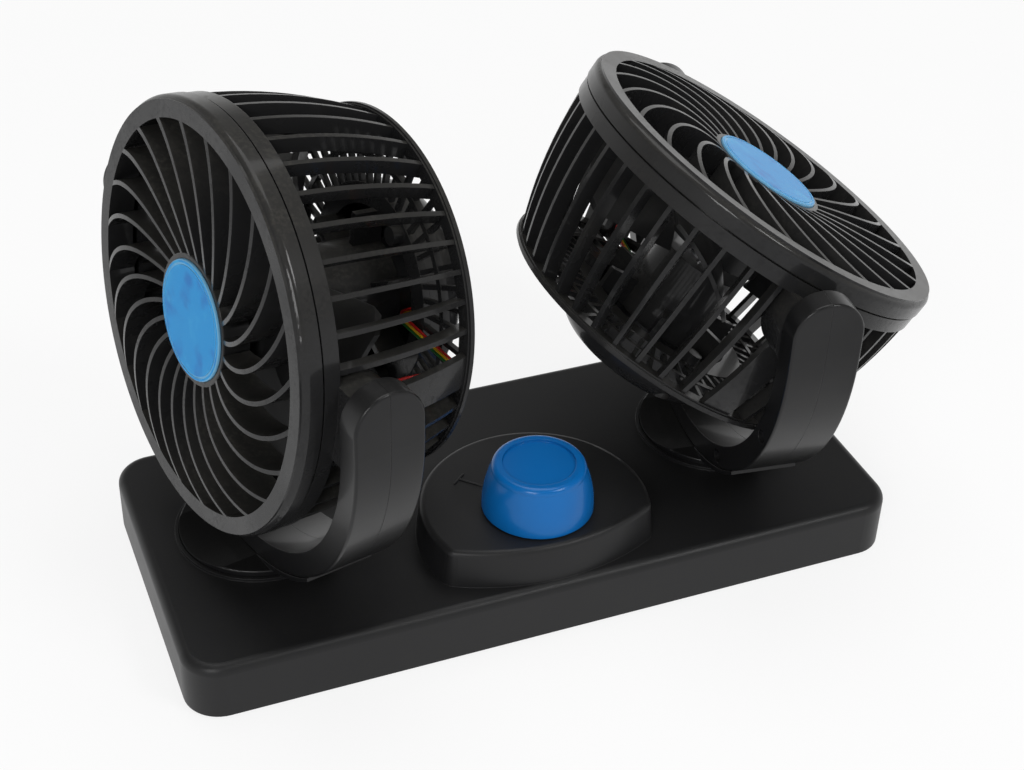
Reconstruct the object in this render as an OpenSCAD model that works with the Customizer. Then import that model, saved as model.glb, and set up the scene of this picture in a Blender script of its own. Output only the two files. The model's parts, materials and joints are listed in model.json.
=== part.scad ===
// Twin-head dashboard fan: a flat base with a control pod and knob, and two
// fan heads, each tilting in a yoke that swivels on its own turntable.
// Millimetres, +Z up, -Y towards the user, origin under the middle of the base.

/* [Base] */
// Depth of the base, front to back
base_w = 112; // [108:1:130]
// Height of the base shell's top face above the surface it stands on
base_h = 20.6; // [18:0.2:26]
// Radius of the base's vertical corners
base_corner_r = 12; // [8:0.5:16]
// Radius of the rounded top edge of the base
base_edge_r = 3.2; // [2:0.2:4]
// Length of base beyond each turntable's ledge
base_end = 11.1; // [8:0.1:20]
// Wall of the base moulding
base_wall = 2.2; // [1.8:0.1:2.8]
// Thickness of the bottom cover
cover_t = 2; // [1.6:0.1:2.6]
// Thickness of the adhesive mounting pads
pad_t = 1.6; // [1.2:0.1:2.4]
// Radius of the bore of the cable inlet's bush
cable_r = 2.7; // [2:0.1:3.4]

/* [Control pod and knob] */
// Radius of the pod's round back
pod_r = 38; // [36:0.2:39]
// How far the centre of the pod's round back lies in front of the base's centre
pod_forward = 28.7; // [26:0.1:30]
// Radius of the pod's shallow front face
pod_front_r = 75; // [66:1:90]
// Distance from the foot of the pod's front face to the front of the base
pod_setback = 2.6; // [2.4:0.1:6]
// How far the pod's sides lean inwards over their height
pod_draft = 1.2; // [0.4:0.1:1.6]
// Height of the pod above the base
pod_h = 13.3; // [12:0.1:18]
// Radius of the rounded top edge of the pod
pod_edge_r = 2; // [0.8:0.1:2.4]
// Radius of the pod's two upright corners
pod_corner_r = 4; // [3:0.1:5]
// How far the knob's axis lies in front of the base's centre
knob_forward = 30.4; // [28:0.1:32]
// Radius of the knob's skirt
knob_r = 18.4; // [17:0.1:20]
// Height of the knob
knob_h = 16.8; // [15:0.2:20]
// Radius of the knob's bowed side, seen from the front
knob_side_r = 38; // [34:1:60]
// Radius of the knob's soft top edge
knob_edge_r = 2.2; // [1.5:0.1:2.6]
// Radius of the dished top of the knob
knob_dish_r = 11.9; // [10:0.1:12.2]
// Radius of the switch shaft
switch_shaft_r = 3; // [2.5:0.1:3.4]

/* [Turntables] */
// How far the turntable axes lie behind the base's centre
table_back = 5.1; // [2:0.1:8]
// Radius of the turning disc
table_r = 26.7; // [25:0.1:28]
// Height of the turning disc's top above the base
table_h = 3.2; // [2.8:0.1:4]
// Radius of the neck that passes through the base
neck_r = 15; // [12:0.5:17]
// Width of the fixed ledge round the disc
ledge_w = 1.2; // [1:0.1:2]
// Height of the fixed ledge above the base
ledge_h = 1.1; // [0.8:0.1:1.6]

/* [Yokes] */
// Fore-and-aft width of the yoke
yoke_w = 22.6; // [20:0.2:23.6]
// Thickness of the yoke's arms
yoke_t = 8.2; // [7.6:0.1:9]
// Wall of the hollow yoke halves
yoke_wall = 1.9; // [1.5:0.1:2.2]
// Radius of the rounded outer edges of the yoke
yoke_edge_r = 0.9; // [0.5:0.1:1.6]
// How far the arms' tips stand above the tilt axis
arm_rise = 18.3; // [15:0.1:20]
// Gap between the front ring and the yoke's arms
yoke_gap = 7.2; // [6:0.1:8]
// Gap between the paths of the two yokes
yoke_path_gap = 0.8; // [0.6:0.1:10]
// How far the tilt axis lies behind the turntable's axis
pivot_back = 1.7; // [0:0.1:3]
// Height of the yoke's lowest point above the base
yoke_foot = 1.8; // [1.7:0.1:2.6]
// Radius of the hollow tilt pins
tilt_pin_r = 5; // [4.2:0.1:5.6]

/* [Fan heads] */
// Outer radius of the front ring
ring_r = 66.8; // [64:0.2:72]
// Width of the front ring's face
ring_w = 6.6; // [5.6:0.1:8]
// Distance from the tilt axis to the front face
face_z = 19.7; // [18.8:0.1:21]
// Width of the front grille's side band
front_band_w = 6.7; // [6:0.1:7.4]
// Width of the rear housing's side band
rear_band_w = 5.6; // [4.6:0.1:6]
// Outer radius of the rear ring
rear_ring_r = 57.5; // [55:0.2:60]
// Width of the rear ring
rear_ring_w = 5.4; // [4:0.1:7]
// Distance from the tilt axis to the back face
back_z = 43.4; // [42:0.1:46]
// Radius of the domed cover behind the motor
cap_r = 33; // [31:0.2:35]
// Radius of the cover's rounded edge
cap_edge_r = 12; // [8:0.5:13]
// Wall of the cover
cap_wall = 1.8; // [1.4:0.1:2.4]
// Number of bars in the rear grille
bar_count = 48; // [36:1:54]
// Thickness of the rear grille's bars
bar_t = 1.5; // [1.2:0.1:1.8]
// Bulge of the side ribs
rib_bulge = 2.2; // [1:0.1:3]
// Depth of the side ribs, across the air gap
rib_d = 5.2; // [4:0.1:6]
// Thickness of the side ribs
rib_t = 1.5; // [1.2:0.1:1.9]
// Angle between side ribs
rib_pitch = 9; // [8.6:0.05:9.3]
// Number of curved vanes in the front grille
vane_count = 24; // [20:1:26]
// Thickness of the vanes
vane_t = 1.4; // [1.1:0.1:1.8]
// Depth of the vanes, front to back
vane_d = 8.6; // [7.6:0.1:9.2]
// Radius of curvature of the vanes
vane_curve_r = 37; // [35:0.5:60]
// Angle that a vane sweeps from hub to ring
vane_sweep = 31.4; // [22:0.1:34]
// Height of the vanes' crown above the ring's face, midway from hub to ring
vane_crown = 2.3; // [0.5:0.1:3]
// Radius of the blue hub disc
disc_r = 18.7; // [17:0.1:19.5]
// Height of the hub disc above the ring's face
disc_proud = 0.8; // [0.4:0.1:1.2]

/* [Motors and impellers] */
// Radius of the motor can
motor_r = 14; // [13:0.1:14.4]
// Length of the motor can
motor_l = 38; // [34:0.5:40]
// Radius of the motor shaft
shaft_r = 1.15; // [1:0.05:1.3]
// Number of impeller blades
blade_count = 5; // [4:1:6]
// Radius at the impeller's blade tips
blade_r = 53; // [50:0.2:54]
// Thickness of the blades
blade_t = 1.6; // [1.2:0.1:2]
// Radius of the motor lead wires
lead_r = 0.45; // [0.4:0.05:0.75]

/* [Pose] */
// Swivel of the left head, 0 facing the user
left_yaw = -77.5; // [-170:0.5:170]
// Upward tilt of the left head
left_tilt = 7.25; // [-30:0.25:90]
// Swivel of the right head, 0 facing the user
right_yaw = 82.4; // [-170:0.1:170]
// Upward tilt of the right head
right_tilt = 57.25; // [-30:0.25:90]

/* [Hidden] */
$fn = 72;

// Clearances
run_gap = 0.06;      // radial gap of a shaft or pin that turns in its hole
slide_gap = 0.2;     // between pieces that turn face to face
seat_gap = 0.05;     // between pieces that are fixed together
join = 0.6;          // how deep features of one moulding run into each other
hair = 0.01;         // cuts pass this far through a face

// Head, seen in its own frame: +Z is the way it blows, +Y up, +X along the tilt axis
opening_r = ring_r - ring_w;
rear_plate = 2.4;
spoke_count = 6;
rotor_hub_r = motor_r + 4;
rotor_hub_l = 18;
seam_z = face_z - front_band_w;
seam_gap = 0.7;
band_z = seam_z - rear_band_w;
band_r = ring_r - 0.4;
band_wall = 1.9;
ring_edge_r = 2.2;
lip_in = 1.2;            // from the ring's outside to its raised face
lip_h = 0.5;             // height of that face above the ring's shoulder
ring_plate = 2.4;
spigot_t = 1.5;
spigot_l = 3;
hub_wall = 1.7;
hub_r = disc_r + 0.15 + hub_wall;
disc_recess = 1.2;
inner_wall = 1.5;
rotor_front = seam_z - spigot_l - 3.5;
head_reach = max(norm([ring_r, face_z]), norm([rear_ring_r, back_z]));
head_gap = 2.8;

// Yoke: a U round the tilt axis, in its own frame with +X along the tilt axis
yoke_in_r = ring_r + yoke_gap;
yoke_r = yoke_in_r + yoke_t;
yoke_drop = max(0, head_reach + head_gap - yoke_in_r);
pivot_z = base_h + yoke_foot + yoke_r + yoke_drop;
yoke_path_r = norm([yoke_r - yoke_edge_r, yoke_w / 2 + pivot_back - yoke_edge_r]) + yoke_edge_r;
table_x = yoke_path_r + yoke_path_gap / 2;
pin_flange = 1.5;
pin_flange_t = 1.2;
washer_t = 0.8;
// the ears swing past the place where the yoke's arms begin to curve in, so the
// yoke has a raised land round each pivot hole, and the ears end short of the curve
ear_r = 12;
ear_clear = 0.4;
ear_reach = norm([band_z + join, ear_r]);
ear_x = sqrt(pow(yoke_in_r, 2) - pow(max(0, ear_reach - yoke_drop), 2)) - ear_clear;
land_t = yoke_in_r - ear_x - washer_t - slide_gap;
land_r = tilt_pin_r + 4.5;
wire_bore_r = tilt_pin_r - 1.7;
screw_r = 1.3;
screw_head_r = 2.4;
screw_head_t = 1.6;
yoke_screw_sink = 3.4;   // from the yoke's rear face to the seat of the screws' heads
yoke_screw_grip = 6;     // length of screw in the front half

// Base
ledge_r = table_r + slide_gap + ledge_w;
base_l = 2 * (table_x + ledge_r + base_end);
top_z = base_h;
pod_top = top_z + pod_h;
pod_y = -pod_forward;
pod_front_y = pod_front_r + pod_draft - base_w / 2 + pod_setback;
knob_y = -knob_forward;
knob_top_r = knob_r - knob_side_r + sqrt(pow(knob_side_r, 2) - pow(knob_h - knob_edge_r, 2));
knob_gap = 0.5;
knob_z = pod_top + knob_gap;
pad_recess = 0.8;
shell_z = pad_t - pad_recess;    // underside of the shell and cover
cover_z = shell_z + cover_t;
boss_r = 4;
switch_w = 19;
switch_h = 8;
bushing_r = 4.6;
nut_r = 6.2;
nut_t = 2;
washer_h = 0.5;
table_z = top_z + slide_gap / 2 + washer_h + slide_gap / 2;
retainer_r = neck_r + 5;
retainer_t = 2;
cover_screw_l = 9;
rear_boss_x = 24;        // leaves the cable's way in free
resistor_l = 38;
resistor_w = 9;
resistor_room = 11.3;
pad_l = 52;
pad_w = base_w - 34;
bush_z = (shell_z + cover_t + top_z - base_wall) / 2;

// ---------- shared shapes ----------

// A rectangle with its far top corner rounded, or sharp where r is 0
module soft_corner_profile(w, h, r) {
  square([w - r, h]);
  square([w, h - r]);
  if (r > 0) translate([w - r, h - r]) circle(r);
}

// A flat slab with round vertical corners and a rounded top edge
module soft_slab(l, w, h, rc, rf) {
  for (sx = [-1, 1], sy = [-1, 1])
    translate([sx * (l / 2 - rc), sy * (w / 2 - rc), 0])
      rotate_extrude() soft_corner_profile(rc, h, rf);
  for (m = [0, 1]) {
    mirror([m, 0, 0])
      rotate([90, 0, 0])
        linear_extrude(w - 2 * rc, center = true)
          soft_corner_profile(l / 2, h, rf);
    mirror([0, m, 0])
      rotate([90, 0, 90])
        linear_extrude(l - 2 * rc, center = true)
          soft_corner_profile(w / 2, h, rf);
  }
}

// A plain slab with round vertical corners
module plain_slab(l, w, h, rc) {
  for (sx = [-1, 1], sy = [-1, 1])
    translate([sx * (l / 2 - rc), sy * (w / 2 - rc), 0]) cylinder(r = rc, h = h);
  translate([-l / 2 + rc, -w / 2, 0]) cube([l - 2 * rc, w, h]);
  translate([-l / 2, -w / 2 + rc, 0]) cube([l, w - 2 * rc, h]);
}

// A disc with a rounded top edge
module soft_disc(r, h, rf) {
  rotate_extrude() soft_corner_profile(r, h, rf);
}

module tube(r_out, r_in, h) {
  difference() {
    cylinder(r = r_out, h = h);
    translate([0, 0, -hair]) cylinder(r = r_in, h = h + 2 * hair);
  }
}

// A pan-head screw, head down, standing up from z = 0
module screw(l) {
  difference() {
    union() {
      cylinder(r = screw_head_r - 0.2, h = screw_head_t);
      cylinder(r = screw_r, h = l);
    }
    translate([0, 0, -hair]) cylinder(r = 1, h = 0.8, $fn = 6);
  }
}

// ---------- base ----------

// A disc with a rounded top edge and a side that leans in by lean
module drafted_disc(r, h, rf, lean) {
  rotate_extrude() {
    polygon([[0, 0], [r + lean, 0], [r, h - rf], [0, h - rf]]);
    square([r - rf, h]);
    if (rf > 0) translate([r - rf, h - rf]) circle(rf);
  }
}

// Centre of each upright corner, where circles drawn in by the corner's radius meet
pod_tip_y = (pow(pod_front_y, 2) - pow(pod_y, 2)
             - pow(pod_front_r - pod_corner_r, 2) + pow(pod_r - pod_corner_r, 2))
            / (2 * (pod_front_y - pod_y));
pod_tip_x = sqrt(pow(pod_r - pod_corner_r, 2) - pow(pod_tip_y - pod_y, 2));
pod_tip_from = atan2(pod_tip_y - pod_front_y, pod_tip_x);
pod_tip_to = atan2(pod_tip_y - pod_y, pod_tip_x);
pod_tip_lap = 9;   // angle by which the corner's round runs on beside the two faces

module at_pod_tips()
  for (m = [0, 1]) mirror([m, 0, 0]) translate([pod_tip_x, pod_tip_y, 0]) rotate(pod_tip_from) children();

// The pod: a round back and a shallow front that meet in round corners
module pod_body(inset, h, rf) {
  difference() {
    intersection() {
      translate([0, pod_y, 0]) drafted_disc(pod_r - inset, h, rf, pod_draft);
      translate([0, pod_front_y, 0]) drafted_disc(pod_front_r - inset, h, rf, pod_draft);
    }
    at_pod_tips() translate([0, 0, -hair])
      linear_extrude(h + 2 * hair)
        polygon([[0, 0], for (a = [-pod_tip_lap, pod_tip_to - pod_tip_from + pod_tip_lap])
                           3 * pod_corner_r * [cos(a), sin(a)]]);
  }
  at_pod_tips() drafted_disc(pod_corner_r - inset, h, rf, pod_draft);
}

cover_screw_places = [
  for (sx = [-1, 1], p = [[base_l / 2 - boss_r - base_wall - 3.5, -1],
                          [base_l / 2 - boss_r - base_wall - 3.5, 1], [rear_boss_x, 1]])
    [sx * p[0], p[1] * (base_w / 2 - boss_r - base_wall - 3.5)]
];

module base_shell() color("#26262a")
  difference() {
    union() {
      difference() {
        union() {
          translate([0, 0, shell_z])
            soft_slab(base_l, base_w, top_z - shell_z, base_corner_r, base_edge_r);
          translate([0, 0, top_z - base_wall]) pod_body(0, pod_h + base_wall, pod_edge_r);
          for (s = [-1, 1])
            translate([s * table_x, table_back, top_z - join])
              tube(ledge_r, table_r + slide_gap, ledge_h + join);
        }
        translate([0, 0, shell_z - hair])
          plain_slab(base_l - 2 * base_wall, base_w - 2 * base_wall,
                     top_z - base_wall - shell_z + hair, base_corner_r - base_wall);
        translate([0, 0, top_z - base_wall - join])
          pod_body(base_wall, pod_h + join, 0);
      }
      for (p = cover_screw_places)
        translate([p.x, p.y, cover_z]) cylinder(r = boss_r, h = top_z - base_wall - cover_z + join);
    }
    for (p = cover_screw_places)
      translate([p.x, p.y, cover_z - hair]) cylinder(r = screw_r + seat_gap, h = cover_screw_l);
    for (s = [-1, 1])
      translate([s * table_x, table_back, top_z - base_wall - join])
        cylinder(r = neck_r, h = base_wall + 2 * join);
    translate([0, knob_y, pod_top - base_wall - join])
      cylinder(r = bushing_r + seat_gap, h = base_wall + 2 * join);
    translate([0, base_w / 2 + hair, bush_z])
      rotate([90, 0, 0]) cylinder(r = cable_r + 2.2, h = base_wall + 2 * hair);
  }

module base_cover() color("#1c1c1e")
  difference() {
    translate([0, 0, shell_z])
      plain_slab(base_l - 2 * (base_wall + 0.15), base_w - 2 * (base_wall + 0.15),
                 cover_t - seat_gap, base_corner_r - base_wall - 0.15);
    for (p = cover_screw_places)
      translate([p.x, p.y, shell_z - hair]) {
        cylinder(r = screw_r + 0.2, h = cover_t + 2 * hair);
        cylinder(r = screw_head_r, h = screw_head_t - 0.4);
      }
    for (i = [-1, 0, 1])
      translate([i * (pad_l + 18), 0, shell_z - hair])
        plain_slab(pad_l + 0.4, pad_w + 0.4, pad_recess + hair, 4.2);
  }

module cover_screws() color("silver")
  for (p = cover_screw_places)
    translate([p.x, p.y, shell_z - 0.45]) screw(cover_screw_l);

module mounting_pads() color("#38383a")
  for (i = [-1, 0, 1])
    translate([i * (pad_l + 18), 0, 0]) plain_slab(pad_l, pad_w, pad_t - seat_gap, 4);

module rotary_switch() color("#3a3d42")
  difference() {
    union() {
      translate([-switch_w / 2, knob_y - switch_w / 2, pod_top - base_wall - switch_h - seat_gap])
        cube([switch_w, switch_w, switch_h]);
      translate([0, knob_y, pod_top - base_wall - join])
        cylinder(r = bushing_r, h = base_wall + join + seat_gap + nut_t + 0.6);
      for (i = [-1, 0, 1])
        translate([i * 5 - 1.2, knob_y - 0.4, pod_top - base_wall - switch_h - 4])
          cube([2.4, 0.8, 4 + join]);
    }
    translate([0, knob_y, pod_top - base_wall - switch_h + 3])
      cylinder(r = switch_shaft_r + run_gap, h = switch_h + base_wall + nut_t + 4);
  }

module switch_nut() color("silver")
  translate([0, knob_y, pod_top + seat_gap])
    difference() {
      cylinder(r = nut_r, h = nut_t, $fn = 6);
      translate([0, 0, -hair]) cylinder(r = bushing_r + seat_gap, h = nut_t + 2 * hair);
    }

module speed_resistor() color("#d8d4c8")
  translate([table_x - retainer_r - resistor_room, -base_w / 2 + base_wall + resistor_room + resistor_w / 2,
             cover_z + seat_gap]) {
    difference() {
      translate([-resistor_l / 2, -resistor_w / 2, 0]) cube([resistor_l, resistor_w, resistor_w]);
      for (s = [-1, 1])
        translate([s * (resistor_l / 2 - 4), 0, 2]) cube([2, 2 * resistor_w, 5], center = true);
    }
    for (s = [-1, 1])
      translate([s * (resistor_l / 2 - 0.5), 0, resistor_w / 2])
        rotate([0, s * 90, 0]) cylinder(r = 0.5, h = 7);
  }

// Flanged rubber bush in the back wall, where a lead would pass
module cable_bush() color("#141414")
  translate([0, base_w / 2, bush_z])
    rotate([-90, 0, 0])
      difference() {
        union() {
          translate([0, 0, -base_wall - 2]) cylinder(r = cable_r + 3.4, h = 2 - seat_gap);
          translate([0, 0, -base_wall - 1]) cylinder(r = cable_r + 2.2 - seat_gap, h = base_wall + 2);
          translate([0, 0, seat_gap]) soft_disc(cable_r + 3.4, 2.6, 1);
        }
        translate([0, 0, -base_wall - 2 - hair]) cylinder(r = cable_r, h = base_wall + 6);
      }

// ---------- knob ----------

knob_core_r = switch_shaft_r + seat_gap + 2.4;
knob_skin = 2.2;

module knob_profile() {
  difference() {
    union() {
      intersection() {
        translate([knob_r - knob_side_r, 0]) circle(knob_side_r, $fn = 180);
        square([knob_r, knob_h - knob_edge_r]);
      }
      square([knob_top_r - knob_edge_r, knob_h]);
      translate([knob_top_r - knob_edge_r, knob_h - knob_edge_r]) circle(knob_edge_r);
    }
    translate([0, knob_h - 1]) square([knob_dish_r, 2]);
    translate([knob_core_r, -hair])
      polygon([[0, 0], [knob_r - knob_skin - knob_core_r, 0],
               [knob_top_r - knob_skin - 0.8 - knob_core_r, knob_h - 3.4], [0, knob_h - 3.4]]);
    translate([0, -hair]) square([nut_r + 1, nut_t + 1.5]);
  }
}

module control_knob() color("#1476c8")
  translate([0, knob_y, knob_z])
    difference() {
      rotate_extrude() knob_profile();
      translate([0, 0, -hair]) cylinder(r = switch_shaft_r + seat_gap, h = knob_h - 4);
    }

module switch_shaft() color("silver")
  translate([0, knob_y, pod_top - base_wall - switch_h + 3 + slide_gap])
    cylinder(r = switch_shaft_r, h = knob_z + knob_h - 4.6 - (pod_top - base_wall - switch_h + 3));

// ---------- turntables and yokes ----------

// Places a piece of the turntable, drawn with the swivel axis along Z
module table_frame(s, yaw)
  translate([s * table_x, table_back, 0]) rotate([0, 0, yaw]) children();

// Places a piece of the yoke, drawn with the tilt axis along X and its middle at the origin
module swivel_frame(s, yaw)
  table_frame(s, yaw) translate([0, pivot_back, pivot_z]) children();

// Places a piece of the head, drawn with +Z the way it blows
module head_frame(s, yaw, tilt)
  swivel_frame(s, yaw) rotate([90 - tilt, 0, 0]) children();

table_screw_r = neck_r - 5;
cradle_t = 2.2;
cradle_half = 50;
cradle_drop = 4.6;

// Two places across the neck for screws, turned by a
module at_table_screws(a)
  for (k = [0, 180]) rotate(a + k) translate([table_screw_r, 0, 0]) children();

module turntable() color("#2a2a2e")
  difference() {
    union() {
      translate([0, 0, table_z]) soft_disc(table_r, top_z + table_h - table_z, 0.6);
      translate([0, 0, top_z - base_wall - slide_gap])
        cylinder(r = neck_r - run_gap, h = base_wall + slide_gap + 2 * join);
      // thin crescent that cradles the bottom of the yoke and dies away along its arms
      intersection() {
        translate([0, pivot_back, pivot_z - yoke_drop - cradle_drop]) rotate([90, 0, 0])
          cylinder(r = yoke_r + cradle_t - cradle_drop, h = yoke_w, center = true, $fn = 180);
        translate([-cradle_half, -yoke_w, top_z + table_h - join])
          cube([2 * cradle_half, 3 * yoke_w, pivot_z / 2]);
      }
      // saddle that fills the space under the crescent, as far as the disc goes
      intersection() {
        translate([0, 0, table_z]) cylinder(r = table_r - 0.6, h = yoke_t + cradle_drop);
        translate([-table_r, pivot_back - yoke_w / 2, top_z]) cube([2 * table_r, yoke_w, yoke_t]);
      }
    }
    translate([0, 0, pivot_z - yoke_drop]) rotate([90, 0, 0])
      cylinder(r = yoke_r + seat_gap, h = 3 * yoke_w, center = true, $fn = 180);
    translate([0, 0, top_z - base_wall - slide_gap - hair]) {
      cylinder(r = wire_bore_r + 1.5, h = 10);
      at_table_screws(60) cylinder(r = screw_r + seat_gap, h = 4);
      at_table_screws(-30) {
        cylinder(r = screw_r + 0.2, h = 10);
        cylinder(r = screw_head_r, h = screw_head_t + 2 * seat_gap + hair);
      }
    }
  }

module table_washer() color("#c9c9c4")
  translate([0, 0, top_z + slide_gap / 2]) tube(table_r - 2, neck_r + 0.5, washer_h);

module table_retainer() color("silver")
  translate([0, 0, top_z - base_wall - slide_gap - seat_gap - retainer_t])
    difference() {
      tube(retainer_r, wire_bore_r + 1.5, retainer_t);
      translate([0, 0, -hair]) at_table_screws(60) cylinder(r = screw_r + 0.2, h = retainer_t + 2 * hair);
    }

module retainer_screws() color("silver")
  translate([0, 0, top_z - base_wall - slide_gap - 2 * seat_gap - retainer_t - screw_head_t])
    at_table_screws(60) screw(retainer_t + screw_head_t + 3.6);

// Screws that hold the yoke's two halves down on the turntable
module foot_screws() color("silver")
  translate([0, 0, top_z - base_wall - slide_gap + seat_gap])
    at_table_screws(-30) screw(foot_screw_l);

// The front half of a U with a soft outer edge: a half ring, two straight arms and
// their round tips. half_w is its depth from the seam, edge its corner radius
module half_u(r_in, r_out, half_w, tip, edge) {
  t = r_out - r_in;
  tip_z = tip - half_w;
  translate([0, 0, -yoke_drop]) rotate([90, 0, 0]) rotate([0, 0, 180])
    rotate_extrude(angle = 180, $fn = 180)
      translate([r_in, 0]) soft_corner_profile(t, half_w, edge);
  for (m = [0, 1]) mirror([m, 0, 0]) {
    translate([0, 0, -yoke_drop])
      linear_extrude(tip_z + yoke_drop)
        mirror([0, 1]) translate([r_in, 0]) soft_corner_profile(t, half_w, edge);
    translate([r_in, 0, tip_z]) rotate([0, 90, 0]) rotate([0, 0, 180])
      rotate_extrude(angle = 90) soft_corner_profile(half_w, t, edge);
  }
}

yoke_screw_angles = [-62, -28, 28, 62];   // from straight down

module at_yoke_screws()
  for (a = yoke_screw_angles)
    translate([(yoke_r + yoke_in_r) / 2 * sin(a), 0, -yoke_drop - (yoke_r + yoke_in_r) / 2 * cos(a)])
      rotate([90, 0, 0]) children();

yoke_boss_r = (yoke_t - 0.4) / 2;
foot_boss_r = 3;
foot_screw_l = base_wall + slide_gap + yoke_foot + yoke_t - 1;

// The foot screws' places, from the yoke's own frame
module at_foot_screws()
  translate([0, -pivot_back, -pivot_z + top_z]) at_table_screws(-30) children();

// The front half of the yoke, hollow, with its screw bosses; the rear half mirrors it
module yoke_half(is_front) {
  half_w = yoke_w / 2;
  difference() {
    union() {
      difference() {
        half_u(yoke_in_r, yoke_r, half_w, arm_rise, yoke_edge_r);
        half_u(yoke_in_r + yoke_wall, yoke_r - yoke_wall, half_w - yoke_wall,
               arm_rise - yoke_wall, 0);
      }
      at_yoke_screws() cylinder(r = yoke_boss_r, h = half_w - yoke_wall + join);
      for (m = [0, 1]) mirror([m, 0, 0])
        translate([yoke_in_r - land_t, 0, 0]) rotate([0, 90, 0])
          cylinder(r = land_r, h = land_t + yoke_wall / 2);
      mirror([0, is_front ? 0 : 1, 0]) at_foot_screws()
        translate([0, 0, yoke_foot + yoke_wall / 2 + 1]) cylinder(r = foot_boss_r, h = yoke_t - yoke_wall - 0.8);
    }
    mirror([0, is_front ? 0 : 1, 0]) at_foot_screws()
      cylinder(r = screw_r + seat_gap, h = yoke_foot + yoke_t - 0.7);
    // the two halves meet at the seam with a hair's gap
    translate([-2 * yoke_r, -seat_gap / 2, -2 * yoke_r]) cube([4 * yoke_r, yoke_w, 4 * yoke_r]);
    for (m = [0, 1]) mirror([m, 0, 0])
      translate([yoke_in_r - land_t - hair, 0, 0]) rotate([0, 90, 0])
        cylinder(r = tilt_pin_r, h = land_t + yoke_wall + join);
    at_yoke_screws() {
      translate([0, 0, -hair])
        cylinder(r = screw_r + (is_front ? seat_gap : 0.2), h = is_front ? yoke_screw_grip + 1.5 : half_w);
      if (!is_front) translate([0, 0, half_w - yoke_screw_sink]) cylinder(r = screw_head_r, h = yoke_screw_sink + 1);
    }
  }
}

module yoke_front() color("#232326") yoke_half(true);
module yoke_rear() color("#232326") mirror([0, 1, 0]) yoke_half(false);

module yoke_screws() color("silver")
  mirror([0, 1, 0]) at_yoke_screws()
    translate([0, 0, yoke_w / 2 - yoke_screw_sink + screw_head_t + seat_gap]) mirror([0, 0, 1])
      screw(yoke_w / 2 - yoke_screw_sink + screw_head_t + seat_gap + yoke_screw_grip);

// ---------- fan heads ----------

vane_turn = -3;   // where the first vane meets the ring, from straight up
vane_from = [hub_r * cos(vane_sweep), -hub_r * sin(vane_sweep)];
vane_to = [opening_r, 0];
vane_mid = (vane_from + vane_to) / 2;
vane_chord = vane_to - vane_from;
vane_rise = sqrt(pow(vane_curve_r, 2) - pow(norm(vane_chord) / 2, 2));
vane_centre = vane_mid + vane_rise * [-vane_chord.y, vane_chord.x] / norm(vane_chord);

// One vane: an arc from hub to ring, its ring end at the +X axis
module vane() {
  intersection() {
    translate([vane_centre.x, vane_centre.y, face_z - vane_d])
      tube(vane_curve_r + vane_t / 2, vane_curve_r - vane_t / 2, vane_d + vane_crown);
    rotate(atan2(vane_centre.y, vane_centre.x))
      translate([0, -2 * ring_r, face_z - vane_d - 1]) cube([2 * ring_r, 2 * ring_r, vane_d + vane_crown + 2]);
  }
}

// The space that the vanes fill: crowned, and level with the ring's face at hub and ring
crown_half = (opening_r - hub_r) / 2;
crown_r = (pow(crown_half, 2) + pow(vane_crown, 2)) / (2 * vane_crown);

module vane_space_profile() {
  intersection() {
    translate([hub_r - join, face_z - vane_d])
      square([opening_r - hub_r + 2 * join, vane_d + vane_crown]);
    translate([hub_r + crown_half, face_z + vane_crown - crown_r]) circle(crown_r, $fn = 360);
  }
}

// The ring: a flat face that ends in a crisp lip above a rounded shoulder
module front_ring_profile() {
  shoulder_z = face_z - lip_h;
  translate([opening_r, face_z - ring_plate]) square([ring_w - lip_in, ring_plate]);
  translate([ring_r - band_wall - spigot_t, shoulder_z - ring_edge_r])
    square([band_wall + spigot_t - ring_edge_r, ring_edge_r]);
  translate([ring_r - ring_edge_r, shoulder_z - ring_edge_r])
    intersection() {
      circle(ring_edge_r);
      square([ring_edge_r, ring_edge_r]);
    }
  translate([ring_r - band_wall, seam_z]) square([band_wall, shoulder_z - ring_edge_r - seam_z]);
  translate([ring_r - band_wall - spigot_t, seam_z - spigot_l])
    square([spigot_t + hair, spigot_l + shoulder_z - ring_edge_r - seam_z]);
  translate([opening_r, face_z - vane_d]) square([inner_wall, vane_d - ring_plate / 2]);
}

module front_grille() color("#1e1e20") {
  rotate_extrude() front_ring_profile();
  intersection() {
    for (i = [0 : vane_count - 1]) rotate(90 + vane_turn + i * 360 / vane_count) vane();
    rotate_extrude() vane_space_profile();
  }
  difference() {
    translate([0, 0, face_z - vane_d]) soft_disc(hub_r, vane_d, 0.5);
    translate([0, 0, face_z - disc_recess]) cylinder(r = disc_r + 0.15, h = 2);
    translate([0, 0, face_z - vane_d - hair])
      cylinder(r = hub_r - hub_wall, h = vane_d - disc_recess - 1.8);
  }
}

module hub_disc() color("#2f8fd0")
  translate([0, 0, face_z - disc_recess + seat_gap])
    difference() {
      soft_disc(disc_r, disc_recess + disc_proud, 0.6);
      translate([0, 0, disc_recess + disc_proud - 0.25])
        tube(disc_r - 1.1, disc_r - 1.7, 1);
    }

// The rib envelope: between the bowed outside line and a parallel one inside it
rib_front = [band_r - 0.6, band_z + join];
rib_back = [rear_ring_r - 1.6, -back_z + 1];
rib_chord = rib_front - rib_back;
rib_bow_r = (pow(norm(rib_chord) / 2, 2) + pow(rib_bulge, 2)) / (2 * rib_bulge);
rib_bow_centre = (rib_front + rib_back) / 2
  + (rib_bow_r - rib_bulge) * [-rib_chord.y, rib_chord.x] / norm(rib_chord);

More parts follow.
